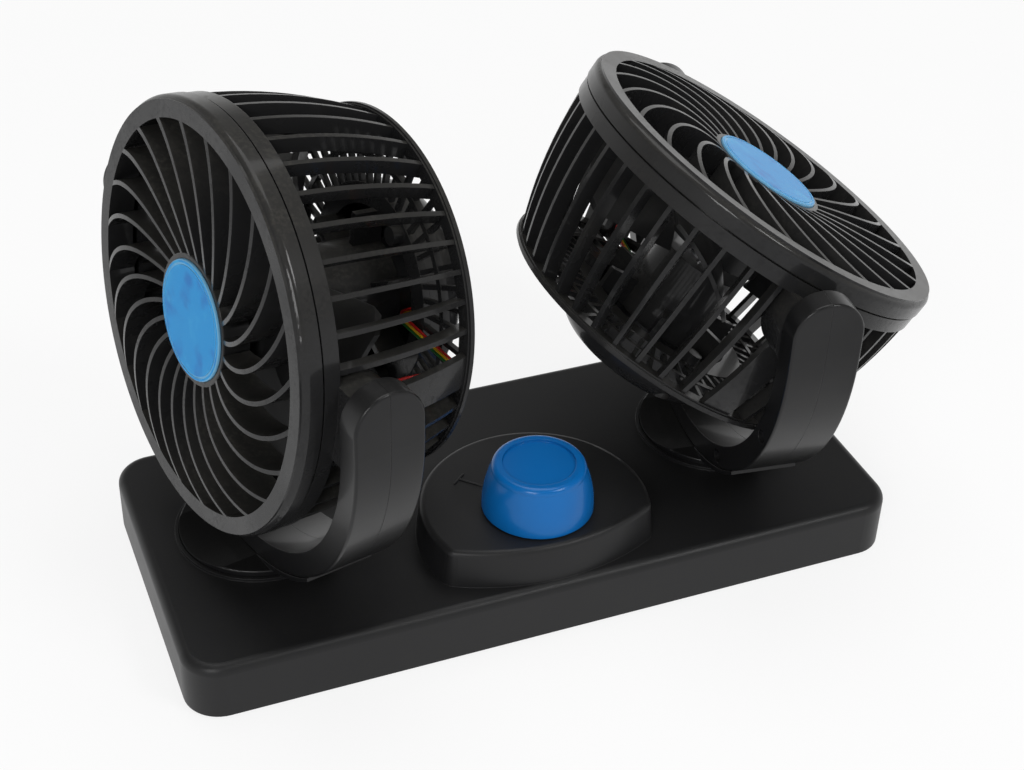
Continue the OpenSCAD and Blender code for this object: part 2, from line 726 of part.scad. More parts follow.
module side_shell(d) {
  rotate_extrude()
    intersection() {
      translate([rib_bow_centre.x, rib_bow_centre.y])
        difference() {
          circle(rib_bow_r, $fn = 180);
          circle(rib_bow_r - d, $fn = 180);
        }
      translate([rear_ring_r - rib_d - 8, rib_back.y])
        square([ring_r, rib_front.y - rib_back.y]);
    }
}

ribs_per_quarter = 9;
rib_angles = [for (k = [0 : ribs_per_quarter - 1]) rib_pitch * (k + 0.5)];

module ribs() {
  intersection() {
    side_shell(rib_d);
    for (a = rib_angles, s = [-1, 1], up = [0, 180])
      rotate(90 + up + s * a)
        translate([rear_ring_r / 2, -rib_t / 2, -back_z])
          cube([ring_r, rib_t, back_z + seam_z]);
  }
}

panel_w = 10.8;
panel_t = 2.4;
lead_room = 0.25;

// Side panel and the round lug on it that carries the hollow tilt pin, joined to the band,
// with a channel where the leads go up inside the panel
module ear() {
  lead_half = lead_step + lead_r + lead_room;
  lead_low = lead_z - lead_r - lead_room;
  difference() {
    union() {
      intersection() {
        side_shell(panel_t);
        translate([0, -panel_w / 2, -back_z]) cube([2 * ring_r, panel_w, back_z + seam_z]);
      }
      difference() {
        union() {
          rotate([0, 90, 0]) cylinder(r = ear_r, h = ear_x);
          translate([0, -ear_r, 0]) cube([ear_x, 2 * ear_r, band_z + join]);
        }
        translate([0, 0, -back_z]) cylinder(r = band_r - rib_d - 1, h = 2 * back_z);
        translate([0, -2 * ear_r, band_z + join]) cube([2 * ring_r, 4 * ear_r, 2 * ear_r]);
      }
      translate([ear_x - join, 0, 0]) rotate([0, 90, 0])
        cylinder(r = tilt_pin_r - run_gap, h = yoke_in_r - ear_x + join + yoke_wall + slide_gap + pin_flange_t);
      translate([yoke_in_r + yoke_wall + slide_gap, 0, 0]) rotate([0, 90, 0])
        cylinder(r = tilt_pin_r + pin_flange, h = pin_flange_t);
    }
    translate([ring_r / 2, 0, 0]) rotate([0, 90, 0]) cylinder(r = wire_bore_r, h = ring_r);
    translate([0, -lead_half, lead_low]) cube([lead_x + lead_r + lead_room, 2 * lead_half, -lead_low]);
  }
}

mid_ring_r = (rear_ring_r - rear_ring_w + cap_r) / 2;
cup_r = motor_r + 0.2 + 1.6;
cup_floor = 2;
motor_front = rotor_front - rotor_hub_l - 7.2;
motor_back = motor_front - motor_l;
motor_screw_r = 8;
plate_in_r = cap_r - 7;
cap_boss_h = 6;
cap_screw_seat = 6;
cap_floor_z = motor_back - 1.2 - cap_wall;

module at_cap_screws()
  for (i = [0 : 2]) rotate(60 + i * 120) translate([cap_r - 4, 0, 0]) children();

module rear_grille() {
  translate([0, 0, -back_z]) {
    tube(rear_ring_r - 0.6, rear_ring_r - rear_ring_w, rear_plate);
    translate([0, 0, 0.6]) tube(rear_ring_r, rear_ring_r - rear_ring_w, rear_plate - 1.2);
    tube(mid_ring_r + 1, mid_ring_r - 1, rear_plate);
    for (i = [0 : bar_count - 1]) rotate((i + 0.5) * 360 / bar_count)
      translate([cap_r - 1, -bar_t / 2, 0.3])
        cube([rear_ring_r - rear_ring_w + join - cap_r + 1, bar_t, rear_plate - 0.6]);
    difference() {
      union() {
        tube(cap_r, plate_in_r, rear_plate);
        at_cap_screws() cylinder(r = screw_r + 1.7, h = cap_boss_h);
      }
      translate([0, 0, -hair]) at_cap_screws() cylinder(r = screw_r + seat_gap, h = cap_boss_h - 1);
    }
    for (i = [0 : spoke_count - 1]) rotate((i + 0.5) * 360 / spoke_count)
      translate([cup_r - join, -1.2, 0]) cube([plate_in_r - cup_r + 2 * join, 2.4, 10]);
  }
  // motor cup, closed at the front where the motor is screwed on
  difference() {
    translate([0, 0, -back_z]) cylinder(r = cup_r, h = back_z + motor_front + seat_gap + cup_floor);
    translate([0, 0, -back_z - hair]) cylinder(r = motor_r + 0.2, h = back_z + motor_front + seat_gap + hair);
    cylinder(r = 4.8, h = 2 * back_z, center = true);
    for (a = [0, 180]) rotate(a) translate([motor_screw_r, 0, motor_front])
      cylinder(r = screw_r + 0.2, h = cup_floor + 1);
  }
}

// The space under the domed cover, inset from its outside
module cap_dome(inset)
  translate([0, 0, -back_z]) mirror([0, 0, 1])
    soft_disc(cap_r - inset, -cap_floor_z - back_z - inset, cap_edge_r - inset);

// Domed cover over the back of the motor
module rear_cap() color("#1d1d20")
  difference() {
    union() {
      difference() {
        cap_dome(0);
        cap_dome(cap_wall);
      }
      intersection() {
        cap_dome(cap_wall / 2);
        translate([0, 0, cap_floor_z]) at_cap_screws() cylinder(r = screw_head_r + 1, h = 2 * back_z);
      }
    }
    translate([0, 0, -back_z - seat_gap]) cylinder(r = 2 * cap_r, h = back_z);
    at_cap_screws() {
      translate([0, 0, cap_floor_z - hair]) cylinder(r = screw_r + 0.2, h = 2 * back_z);
      translate([0, 0, -back_z - cap_screw_seat - back_z]) cylinder(r = screw_head_r, h = back_z);
    }
  }

module cap_screws() color("silver")
  translate([0, 0, -back_z - cap_screw_seat - screw_head_t - seat_gap])
    at_cap_screws() screw(screw_head_t + cap_screw_seat + cap_boss_h - 1.5);

module rear_housing() color("#202023") {
  rotate_extrude() {
    // the front grille's spigot slips into the band
    translate([ring_r - band_wall + hair + seat_gap, band_z])
      square([band_r - ring_r + band_wall - hair - seat_gap, rear_band_w - seam_gap]);
    translate([band_r - rib_d, band_z]) square([rib_d, 1.6]);
  }
  ribs();
  rear_grille();
  for (m = [0, 1]) mirror([m, 0, 0]) ear();
}

module tilt_washers() color("#d0d0ca")
  for (m = [0, 1]) mirror([m, 0, 0])
    translate([ear_x + slide_gap / 2, 0, 0]) rotate([0, 90, 0])
      tube(tilt_pin_r + 4, tilt_pin_r + 0.1, washer_t);

module motor() color("#8c9094")
  translate([0, 0, motor_back])
    difference() {
      union() {
        soft_disc(motor_r, motor_l, 0.8);
        cylinder(r = 4.5, h = motor_l + 1.6);
      }
      translate([0, 0, 8]) cylinder(r = shaft_r + run_gap, h = motor_l);
      for (a = [0, 180]) rotate(a) translate([motor_screw_r, 0, motor_l - 5])
        cylinder(r = screw_r + seat_gap, h = 6);
    }

module motor_screws() color("silver")
  for (a = [0, 180]) rotate(a)
    translate([motor_screw_r, 0, motor_front + cup_floor + screw_head_t + 2 * seat_gap])
      mirror([0, 0, 1]) screw(screw_head_t + cup_floor + 4);

// A lead from the side of the motor, out in front of the rear grille, forward along the side
// panel and out through the hollow tilt pin; off is its place in the flat bundle
lead_x = blade_r + lead_r + 0.65;
lead_z = -back_z + rear_plate + lead_r + 0.5;
lead_start_x = cup_r + 4;
lead_start_z = motor_back + 4;
lead_end_x = yoke_in_r + yoke_wall + slide_gap + pin_flange_t + 0.6;
lead_bend = 3;

module lead_out(x0, x1, z) translate([x0, 0, z]) rotate([0, 90, 0]) cylinder(r = lead_r, h = x1 - x0);
module lead_forward(x, z0, z1) translate([x, 0, z0]) cylinder(r = lead_r, h = z1 - z0);

// A quarter bend about a point, starting at angle a in the plane of the leads
module lead_elbow(x, z, a)
  translate([x, 0, z]) rotate([90, 0, 0]) rotate([0, 0, a])
    rotate_extrude(angle = 90) translate([lead_bend, 0]) circle(lead_r, $fn = 24);

module lead(off) {
  b = lead_bend;
  translate([0, off, 0]) {
    lead_out(motor_r + 0.1, lead_start_x - b, lead_start_z);
    lead_elbow(lead_start_x - b, lead_start_z + b, -90);
    lead_forward(lead_start_x, lead_start_z + b, lead_z - b);
    lead_elbow(lead_start_x + b, lead_z - b, 90);
    lead_out(lead_start_x + b, lead_x - b, lead_z);
    lead_elbow(lead_x - b, lead_z + b, -90);
    lead_forward(lead_x, lead_z + b, -b);
    lead_elbow(lead_x + b, -b, 90);
    lead_out(lead_x + b, lead_end_x, 0);
  }
}

lead_step = 2 * lead_r + 0.25;
module lead_red() color("red") lead(lead_step);
module lead_yellow() color("gold") lead(0);
module lead_green() color("green") lead(-lead_step);

// ---------- impellers ----------

cone_small = 26;
cone_large = 56;
cone_l = 60;
blade_lean = atan((cone_large - cone_small) / cone_l);
blade_leaf_r = 34;
blade_leaf_x = 36;

// One blade: a thin sheet of a cone, cut to a leaf with a round tip
module blade() {
  intersection() {
    translate([0, -19, rotor_front - 1.5 - cone_small])
      rotate([0, blade_lean, 0]) rotate([0, 90, 0])
        translate([0, 0, -8])
          difference() {
            cylinder(r1 = cone_small - 4, r2 = cone_large, h = cone_l + 8, $fn = 120);
            translate([0, 0, -hair])
              cylinder(r1 = cone_small - 4 - blade_t, r2 = cone_large - blade_t, h = cone_l + 8 + 2 * hair, $fn = 120);
          }
    intersection_for (s = [-1, 1])
      translate([blade_leaf_x, 2 + s * blade_leaf_r / 2, rotor_front - 24])
        cylinder(r = blade_leaf_r, h = 30);
    translate([0, 0, rotor_front - 24]) tube(blade_r, rotor_hub_r - join, 30);
    translate([0, -blade_r, rotor_front - 24]) cube([blade_r, 2 * blade_r, 30]);
  }
}

module impeller() color("#17171a") {
  for (i = [0 : blade_count - 1]) rotate(i * 360 / blade_count) blade();
  difference() {
    translate([0, 0, rotor_front - rotor_hub_l]) soft_disc(rotor_hub_r, rotor_hub_l, 2);
    translate([0, 0, rotor_front - rotor_hub_l - hair])
      tube(rotor_hub_r - 1.6, 4, rotor_hub_l - 2);
    translate([0, 0, rotor_front - rotor_hub_l - hair]) cylinder(r = 4.2, h = 4);
    translate([0, 0, rotor_front - rotor_hub_l - hair]) cylinder(r = shaft_r + seat_gap / 2, h = rotor_hub_l - 2);
  }
}

module motor_shaft() color("silver")
  translate([0, 0, motor_back + 9])
    cylinder(r = shaft_r, h = rotor_front - 2.2 - motor_back - 9);

// ---------- the two sides ----------

module left_table() table_frame(-1, left_yaw) children();
module right_table() table_frame(1, right_yaw) children();
module left_swivel() swivel_frame(-1, left_yaw) children();
module right_swivel() swivel_frame(1, right_yaw) children();
module left_head() head_frame(-1, left_yaw, left_tilt) children();
module right_head() head_frame(1, right_yaw, right_tilt) children();

module left_turntable() left_table() turntable();
module left_table_washer() left_table() table_washer();
module left_table_retainer() left_table() table_retainer();
module left_retainer_screws() left_table() retainer_screws();
module left_foot_screws() left_table() foot_screws();
module left_yoke_front() left_swivel() yoke_front();
module left_yoke_rear() left_swivel() yoke_rear();
module left_yoke_screws() left_swivel() yoke_screws();
module left_front_grille() left_head() front_grille();
module left_hub_disc() left_head() hub_disc();
module left_rear_housing() left_head() rear_housing();
module left_rear_cap() left_head() rear_cap();
module left_cap_screws() left_head() cap_screws();
module left_motor() left_head() motor();
module left_motor_screws() left_head() motor_screws();
module left_tilt_washers() left_head() tilt_washers();
module left_lead_red() left_head() lead_red();
module left_lead_yellow() left_head() lead_yellow();
module left_lead_green() left_head() lead_green();
module left_impeller() left_head() impeller();
module left_motor_shaft() left_head() motor_shaft();

module right_turntable() right_table() turntable();
module right_table_washer() right_table() table_washer();
module right_table_retainer() right_table() table_retainer();
module right_retainer_screws() right_table() retainer_screws();
module right_foot_screws() right_table() foot_screws();
module right_yoke_front() right_swivel() yoke_front();
module right_yoke_rear() right_swivel() yoke_rear();
module right_yoke_screws() right_swivel() yoke_screws();
module right_front_grille() right_head() front_grille();
module right_hub_disc() right_head() hub_disc();
module right_rear_housing() right_head() rear_housing();
module right_rear_cap() right_head() rear_cap();
module right_cap_screws() right_head() cap_screws();
module right_motor() right_head() motor();
module right_motor_screws() right_head() motor_screws();
module right_tilt_washers() right_head() tilt_washers();
module right_lead_red() right_head() lead_red();
module right_lead_yellow() right_head() lead_yellow();
module right_lead_green() right_head() lead_green();
module right_impeller() right_head() impeller();
module right_motor_shaft() right_head() motor_shaft();

base_shell();
base_cover();
cover_screws();
mounting_pads();
rotary_switch();
switch_nut();
speed_resistor();
cable_bush();
control_knob();
switch_shaft();
left_turntable();
left_table_washer();
left_table_retainer();
left_retainer_screws();
left_foot_screws();
left_yoke_front();
left_yoke_rear();
left_yoke_screws();
left_front_grille();
left_hub_disc();
left_rear_housing();
left_rear_cap();
left_cap_screws();
left_motor();
left_motor_screws();
left_tilt_washers();
left_lead_red();
left_lead_yellow();
left_lead_green();
left_impeller();
left_motor_shaft();
right_turntable();
right_table_washer();
right_table_retainer();
right_retainer_screws();
right_foot_screws();
right_yoke_front();
right_yoke_rear();
right_yoke_screws();
right_front_grille();
right_hub_disc();
right_rear_housing();
right_rear_cap();
right_cap_screws();
right_motor();
right_motor_screws();
right_tilt_washers();
right_lead_red();
right_lead_yellow();
right_lead_green();
right_impeller();
right_motor_shaft();
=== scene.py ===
# %% [markdown]
# # A twin-head dashboard fan
# The solid model gives every piece its true shape and place. This lesson dresses it: it sets
# the camera where the photographer stood, lights the table, mixes the moulded plastics and
# the metals, and adds the small things that a solid model leaves out, such as screw heads.

# %% Load the solid model
import json
import math

import bmesh
import bpy
from mathutils import Matrix, Vector


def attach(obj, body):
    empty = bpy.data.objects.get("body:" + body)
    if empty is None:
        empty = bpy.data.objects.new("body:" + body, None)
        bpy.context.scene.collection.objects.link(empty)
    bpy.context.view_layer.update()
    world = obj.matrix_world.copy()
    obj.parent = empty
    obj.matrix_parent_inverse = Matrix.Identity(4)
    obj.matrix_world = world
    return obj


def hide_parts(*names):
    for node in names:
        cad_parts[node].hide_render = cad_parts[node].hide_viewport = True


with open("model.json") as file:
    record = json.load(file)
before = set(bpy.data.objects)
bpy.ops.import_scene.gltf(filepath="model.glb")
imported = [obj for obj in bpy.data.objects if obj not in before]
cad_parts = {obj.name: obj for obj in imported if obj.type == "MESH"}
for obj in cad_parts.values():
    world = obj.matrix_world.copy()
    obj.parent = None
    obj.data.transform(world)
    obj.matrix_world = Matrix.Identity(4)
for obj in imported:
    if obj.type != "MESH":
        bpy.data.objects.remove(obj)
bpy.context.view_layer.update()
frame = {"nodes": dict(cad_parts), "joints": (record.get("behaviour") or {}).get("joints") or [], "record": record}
nodes = frame["nodes"]
print("pieces from the solid model:", len(nodes))

# %% [markdown]
# ## The camera
# The photographer looked down on the fan from the front left. A lens is known by its focal
# length, and the rest is one place and three angles, so the camera's axes are worked out from
# them: the way it looks, the way that is right and the way that is up in the picture.

# %% Camera
MM = 0.001
CAMERA_PLACE = Vector((-185.06, -446.67, 407.61)) * MM
CAMERA_TURN = math.radians(-22.77)
CAMERA_DIP = math.radians(35.64)
CAMERA_ROLL = math.radians(1.88)
LENS_MM = 63.47
FILM_WIDTH_MM = 36
NEAREST_SEEN = 10 * MM
KNOB_PLACE = Vector((0, -30, 50)) * MM


def camera_axes(turn, dip, roll):
    """The camera's right, up and backward directions."""
    level = Vector((math.cos(turn), math.sin(turn), 0))
    inward = Vector((-math.sin(turn), math.cos(turn), 0))
    ahead = inward * math.cos(dip) - Vector((0, 0, math.sin(dip)))
    above = level.cross(ahead)
    right = math.cos(roll) * level + math.sin(roll) * above
    up = -math.sin(roll) * level + math.cos(roll) * above
    return right, up, -ahead


camera_data = bpy.data.cameras.new("camera")
camera_data.lens = LENS_MM
camera_data.sensor_width = FILM_WIDTH_MM
camera_data.clip_start = NEAREST_SEEN
camera = bpy.data.objects.new("camera", camera_data)
bpy.context.scene.collection.objects.link(camera)
turned = Matrix(camera_axes(CAMERA_TURN, CAMERA_DIP, CAMERA_ROLL)).transposed()
camera.matrix_world = Matrix.Translation(CAMERA_PLACE) @ turned.to_4x4()
bpy.context.scene.camera = camera
bpy.context.scene.view_settings.view_transform = "Standard"
print("camera to knob:", round((camera.location - KNOB_PLACE).length, 3), "m")

# %% [markdown]
# ## One class for shader sums
# A shader is a net of nodes. Written node by node it is long and hard to read, so a small
# class wraps the end of a wire and lets plain sums add the Math nodes. Every other node comes
# from its one method, `add`, which first makes the settings and then joins the sockets.

# %% Wire
MIX_SHARE, MIX_FIRST, MIX_SECOND, MIX_RESULT = 0, 6, 7, 2    # a Mix node's colour sockets


class Wire:
    """One output of a shader node, or None for an empty net to start from."""

    def __init__(self, net, socket=None):
        self.net = net
        self.socket = socket

    def add(self, kind, settings=None, joins=None, out=0):
        """A new node of this kind, as the Wire of its output called out."""
        node = self.net.nodes.new("ShaderNode" + kind)
        for name, value in (settings or {}).items():
            setattr(node, name, value)
        for name, value in (joins or {}).items():
            if isinstance(value, Wire):
                self.net.links.new(value.socket, node.inputs[name])
            else:
                node.inputs[name].default_value = value
        return Wire(self.net, node.outputs[out])

    def maths(self, operation, *values):
        """A Math node on these values."""
        return self.add("Math", {"operation": operation}, dict(enumerate(values)))

    def __add__(self, other):
        return self.maths("ADD", self, other)

    def __sub__(self, other):
        return self.maths("SUBTRACT", self, other)

    def __rsub__(self, other):
        return self.maths("SUBTRACT", other, self)

    def __mul__(self, other):
        return self.maths("MULTIPLY", self, other)

    __radd__ = __add__
    __rmul__ = __mul__

    def between(self, low, high):
        """0 where this is below low, 1 above high, and smooth between."""
        joins = {"Value": self, "From Min": low, "From Max": high}
        return self.add("MapRange", {"interpolation_type": "SMOOTHSTEP"}, joins)

    def blend(self, first, second):
        """The colour first where this is 0 and second where it is 1."""
        joins = {MIX_SHARE: self}
        for socket, colour in ((MIX_FIRST, first), (MIX_SECOND, second)):
            joins[socket] = colour if isinstance(colour, Wire) else (*colour, 1)
        return self.add("Mix", {"data_type": "RGBA"}, joins, out=MIX_RESULT)


# %% [markdown]
# ## Starting a finish
# Each finish is one Principled shader. Its fixed numbers are set on its own sockets, and what
# changes over the surface is joined to it at the end. All noise is measured in metres on the
# object itself, so a grain of a third of a millimetre is the same on a knob and on a base.

# %% Finish helpers
BEVEL_SAMPLES = 6
CORNER_FROM, CORNER_FULL = 0.004, 0.12    # 1 less the cosine from the true to the rounded way


def new_finish(name, **fixed):
    """A material with one Principled shader: the material, an empty Wire and the shader."""
    material = bpy.data.materials.new(name)
    material.use_nodes = True
    net = material.node_tree
    shader = net.nodes["Principled BSDF"]
    for socket, value in fixed.items():
        shader.inputs[socket.replace("_", " ")].default_value = value
    return material, Wire(net), shader


def join(shader, **wires):
    """Joins wires to the shader's sockets; an underscore stands for a space."""
    for name, wire in wires.items():
        wire.net.links.new(wire.socket, shader.inputs[name.replace("_", " ")])


def place_on(empty):
    """The place on the object, in metres."""
    return empty.add("TexCoord", out="Object")


def speckle(place, size, detail=2.0, rough=0.5):
    """Cloudy noise from 0 to 1 whose blobs are about size across, in metres."""
    joins = {"Vector": place, "Scale": 1 / size, "Detail": detail, "Roughness": rough}
    return place.add("TexNoise", {}, joins, out="Fac")


def soft_edges(empty, radius):
    """The surface's direction with its corners rounded off, and how near a corner it is."""
    rounded = empty.add("Bevel", {"samples": BEVEL_SAMPLES}, {"Radius": radius}, out="Normal")
    true = empty.add("NewGeometry", out="Normal")
    alike = empty.add("VectorMath", {"operation": "DOT_PRODUCT"}, {0: rounded, 1: true}, "Value")
    return rounded, (1 - alike).between(CORNER_FROM, CORNER_FULL)


def bumps(height, strength, depth, normal=None):
    """The surface's direction over bumps of this height, depth being the full one in metres."""
    joins = {"Strength": strength, "Distance": depth, "Height": height}
    if normal:
        joins["Normal"] = normal
    return height.add("Bump", {}, joins, out="Normal")


# %% [markdown]
# ## Moulded black plastic
# The base is satin, with the fine even grain of a spark-eroded mould; the yokes are smoother
# and the fan heads glossy. They are the same plastic, so one function makes them all from a
# tint, a roughness and a grain. Yokes and heads also have some clear coat: a weak but sharp
# mirror over the softer body is how a polished mould shows on black. Handling rubs corners
# paler. Dust lies as a broken film on what faces up, with a few smears elsewhere. The even
# part of that film is also painted light: the faces that look up are made paler, as if lit
# from above. One mask for dust and painted light makes the colour paler and the surface
# rougher, and the dust takes the coat away.

# %% Black plastics
CLOUD_SIZE = 30 * MM
FLOW_SIZE = 6 * MM
DUST_SPECK_SIZE, DUST_PATCH_SIZE, SMEAR_SIZE = 1.4 * MM, 16 * MM, 21 * MM
# painted light: the tone that dust and the lighter tops blend towards
DUST_AND_LIGHT_TONE = (0.105, 0.099, 0.083)
EVEN_DUST_AND_LIGHT = 0.35             # the even part of the dust and painted light on what faces up
SMEARED_DUST = 0.22
RUBBED = 0.35                # how far a rubbed corner goes to the paler tone
# the dust number also sets the painted light that makes the faces that look up paler
BLACKS = {
    "base_plastic": dict(tint=(0.0088, 0.0088, 0.0094), shine=0.28, rough=0.42,
                         grain_mm=0.32, depth_mm=0.012, edge_mm=0.35, dust_and_light=0.03),
    "swivel_plastic": dict(tint=(0.0070, 0.0070, 0.0075), shine=0.20, rough=0.33,
                           grain_mm=0.5, depth_mm=0.004, edge_mm=0.30, dust_and_light=0.06, coat=0.16),
    "head_plastic": dict(tint=(0.0150, 0.0150, 0.0155), shine=0.07, rough=0.27,
                         grain_mm=0.7, depth_mm=0.003, edge_mm=0.22, dust_and_light=0.30, coat=0.36),
    "impeller_plastic": dict(tint=(0.0120, 0.0120, 0.0125), shine=0.22, rough=0.32,
                             grain_mm=0.5, depth_mm=0.005, edge_mm=0.25, dust_and_light=0.15),
    "switch_plastic": dict(tint=(0.02, 0.02, 0.022), shine=0.3, rough=0.4,
                           grain_mm=0.4, depth_mm=0.006, edge_mm=0.2, dust_and_light=0.0),
}


def black_plastic(name, tint, shine, rough, grain_mm, depth_mm, edge_mm, dust_and_light, coat=0.0):
    """Moulded black plastic, with a grain of this size and depth and softened edges."""
    material, empty, shader = new_finish(name, Specular_IOR_Level=shine, Coat_Roughness=0.09)
    place = place_on(empty)
    rounded, corner = soft_edges(empty, edge_mm * MM)
    clouds = speckle(place, CLOUD_SIZE, 3)
    flow = speckle(place, FLOW_SIZE)
    grain = speckle(place, grain_mm * MM, 3, 0.6)
    up = empty.add("SeparateXYZ", {}, {0: empty.add("TexCoord", out="Normal")}, out="Z")
    specks = speckle(place, DUST_SPECK_SIZE, 3, 0.6).between(0.40, 0.72)
    film = specks * speckle(place, DUST_PATCH_SIZE).between(0.30, 0.66)
    smears = speckle(place, SMEAR_SIZE, 3, 0.6).between(0.56, 0.74)
    # painted light: faces that look up are made paler, partly dust and partly lighter tops as if lit from above;
    # smears are dust alone
    tops_dust_and_light = up.between(0.2, 0.9) * (EVEN_DUST_AND_LIGHT + (1 - EVEN_DUST_AND_LIGHT) * film)
    dust_and_light_veil = dust_and_light * (tops_dust_and_light + SMEARED_DUST * smears)
    polish = corner * clouds.between(0.3, 0.7)
    paler = tuple(min(1, channel * 2.2 + 0.006) for channel in tint)
    colour = dust_and_light_veil.blend((polish * RUBBED).blend(tint, paler), DUST_AND_LIGHT_TONE)
    uneven = 0.07 * (clouds - 0.5) + 0.05 * (flow - 0.5)
    coated = 1 - film.between(0, 1) * min(1, 2 * dust_and_light)
    clear = coat * coated * (0.6 + 0.4 * clouds.between(0.35, 0.6))
    join(shader, Base_Color=colour, Roughness=rough + uneven - 0.06 * polish + 0.25 * dust_and_light_veil,
         Coat_Weight=clear, Normal=bumps(grain + 0.8 * flow, 0.6, depth_mm * MM, rounded))
    return material


finishes = {name: black_plastic(name, **numbers) for name, numbers in BLACKS.items()}
print("black plastics:", len(finishes))

# %% [markdown]
# ## Blue plastic of the knob
# The knob is coloured right through and polished in the mould, so its body is fairly smooth
# and a very thin clear coat adds the sharper light on its rim. The long waves of a thick
# moulding show as a slow ripple in the gloss, and its colour deepens a little at the corners.

# %% Knob
KNOB_TINT, KNOB_DEEP = (0.0035, 0.122, 0.390), (0.0025, 0.100, 0.335)
KNOB_ROUGH = 0.22
KNOB_EDGE = 0.35 * MM
RIPPLE_DEPTH = 0.01 * MM


def blue_plastic(name, tint, deep, rough):
    """Polished plastic, a little deeper in tone at its corners and in slow clouds."""
    material, empty, shader = new_finish(name, Specular_IOR_Level=0.2, Coat_Weight=0.1,
                                         Coat_Roughness=0.08)
    place = place_on(empty)
    rounded, corner = soft_edges(empty, KNOB_EDGE)
    clouds = speckle(place, 20 * MM)
    hairs = speckle(place, 0.5 * MM)
    colour = (clouds.between(0.3, 0.75) * 0.5 + corner * 0.3).blend(tint, deep)
    join(shader, Base_Color=colour, Roughness=rough + 0.06 * (hairs - 0.5) + 0.05 * clouds,
         Normal=bumps(clouds + 0.1 * hairs, 0.5, RIPPLE_DEPTH, rounded))
    return material


finishes["knob_blue"] = blue_plastic("knob_blue", KNOB_TINT, KNOB_DEEP, KNOB_ROUGH)
print("knob's blue:", KNOB_TINT)

# %% [markdown]
# ## The discs in the grilles
# Each head carries a disc of cloudy blue plastic with a thin paler ring near its edge, and a
# pale edge. The ring is too thin to be worth its own mesh, so the finish is told how
# far a point lies from the head's own axis, and changes its blue at the ring's two radii.

# %% Blue discs
RING_INSIDE = 16.95 * MM
RING_OUTSIDE = 17.65 * MM
RING_BLUR = 0.06 * MM
DISC_EDGE = 18.35 * MM
EDGE_BLUR = 0.1 * MM
DISC_BLUE, DISC_DEEP = (0.002, 0.260, 0.620), (0.002, 0.165, 0.500)
DISC_CLOUD = (0.020, 0.330, 0.660)
RING_BLUE, EDGE_BLUE = (0.14, 0.42, 0.66), (0.16, 0.40, 0.62)
joints = {joint["name"]: joint for joint in frame["joints"]}


def from_axis(place, middle, axis):
    """How far a place on the object is from a line through middle along axis."""
    away = place.add("VectorMath", {"operation": "SUBTRACT"}, {0: place, 1: middle})
    across = place.add("VectorMath", {"operation": "CROSS_PRODUCT"}, {0: away, 1: axis})
    return place.add("VectorMath", {"operation": "LENGTH"}, {0: across}, out="Value")


def disc_finish(side):
    """Blue for one side's disc, with its pale ring and edge."""
    material, empty, shader = new_finish(side + "_disc_blue", Specular_IOR_Level=0.09)
    place = place_on(empty)
    spin = joints[side + "_spin"]
    away = from_axis(place, Vector(spin["pos_m"]), Vector(spin["axis"]))
    past_inside = away.between(RING_INSIDE, RING_INSIDE + RING_BLUR)
    past_outside = away.between(RING_OUTSIDE, RING_OUTSIDE + RING_BLUR)
    ring = past_inside * (1 - past_outside)
    edge = away.between(DISC_EDGE - EDGE_BLUR, DISC_EDGE + EDGE_BLUR)
    clouds = speckle(place, 13 * MM, 3, 0.6).between(0.50, 0.70)
    depths = speckle(place, 9 * MM).between(0.50, 0.74)
    hairs = speckle(place, 0.3 * MM)
    blue = clouds.blend(depths.blend(DISC_BLUE, DISC_DEEP), DISC_CLOUD)
    colour = edge.blend(ring.blend(blue, RING_BLUE), EDGE_BLUE)
    join(shader, Base_Color=colour, Roughness=0.26 + 0.08 * (hairs - 0.5) - 0.06 * ring)
    return material


disc_blues = {side: disc_finish(side) for side in ("left", "right")}
print("disc blues:", len(disc_blues))

# %% [markdown]
# ## Metals
# Screws, the shafts and the retainer plates are zinc-plated or ground steel. Bare metal is
# never even: its grain is drawn out one way, which a noise squeezed along one direction
# shows. The motor's can is rolled sheet, dulled by its plating.

# %% Metals
DRAWN_OUT = 0.06             # the squeeze of the noise along the grain
DULL = 0.72                  # a stained spot's tone, as a part of the clean one
METALS = {
    "screw_metal": dict(tint=(0.50, 0.50, 0.52), rough=0.30, along=(0, 0, 1), grain_mm=0.2),
    "shaft_steel": dict(tint=(0.56, 0.56, 0.57), rough=0.20, along=(1, 0, 0), grain_mm=0.12),
    "plate_steel": dict(tint=(0.48, 0.49, 0.50), rough=0.34, along=(1, 0, 0), grain_mm=0.3),
    "motor_can": dict(tint=(0.34, 0.35, 0.36), rough=0.36, along=(0, 0, 1), grain_mm=0.25),
}


def drawn_metal(name, tint, rough, along, grain_mm):
    """Metal with a grain drawn out along one direction, its size being that across it."""
    material, empty, shader = new_finish(name, Metallic=1.0)
    place = place_on(empty)
    squeeze = tuple(DRAWN_OUT if part else 1.0 for part in along)
    drawn_out = empty.add("VectorMath", {"operation": "MULTIPLY"}, {0: place, 1: squeeze})
    grain = speckle(drawn_out, grain_mm * MM, 3)
    stains = speckle(place, 8 * MM, 3)
    dull = tuple(DULL * channel for channel in tint)
    colour = (stains.between(0.35, 0.8) * 0.5 + 0.25 * grain).blend(tint, dull)
    join(shader, Base_Color=colour, Roughness=rough + 0.14 * (grain - 0.5) + 0.1 * stains,
         Normal=bumps(grain, 0.35, 0.004 * MM))
    return material


finishes.update({name: drawn_metal(name, **numbers) for name, numbers in METALS.items()})
print("metals:", len(METALS))

# %% [markdown]
# ## Small soft and dull finishes
# The pads under the base are closed-cell foam, whose cut face is a field of tiny cells: a
# Voronoi pattern sunk by a bump. The bush is plain moulded rubber, the washers are natural
# nylon, the resistor is rough ceramic and the leads have thin shiny insulation.

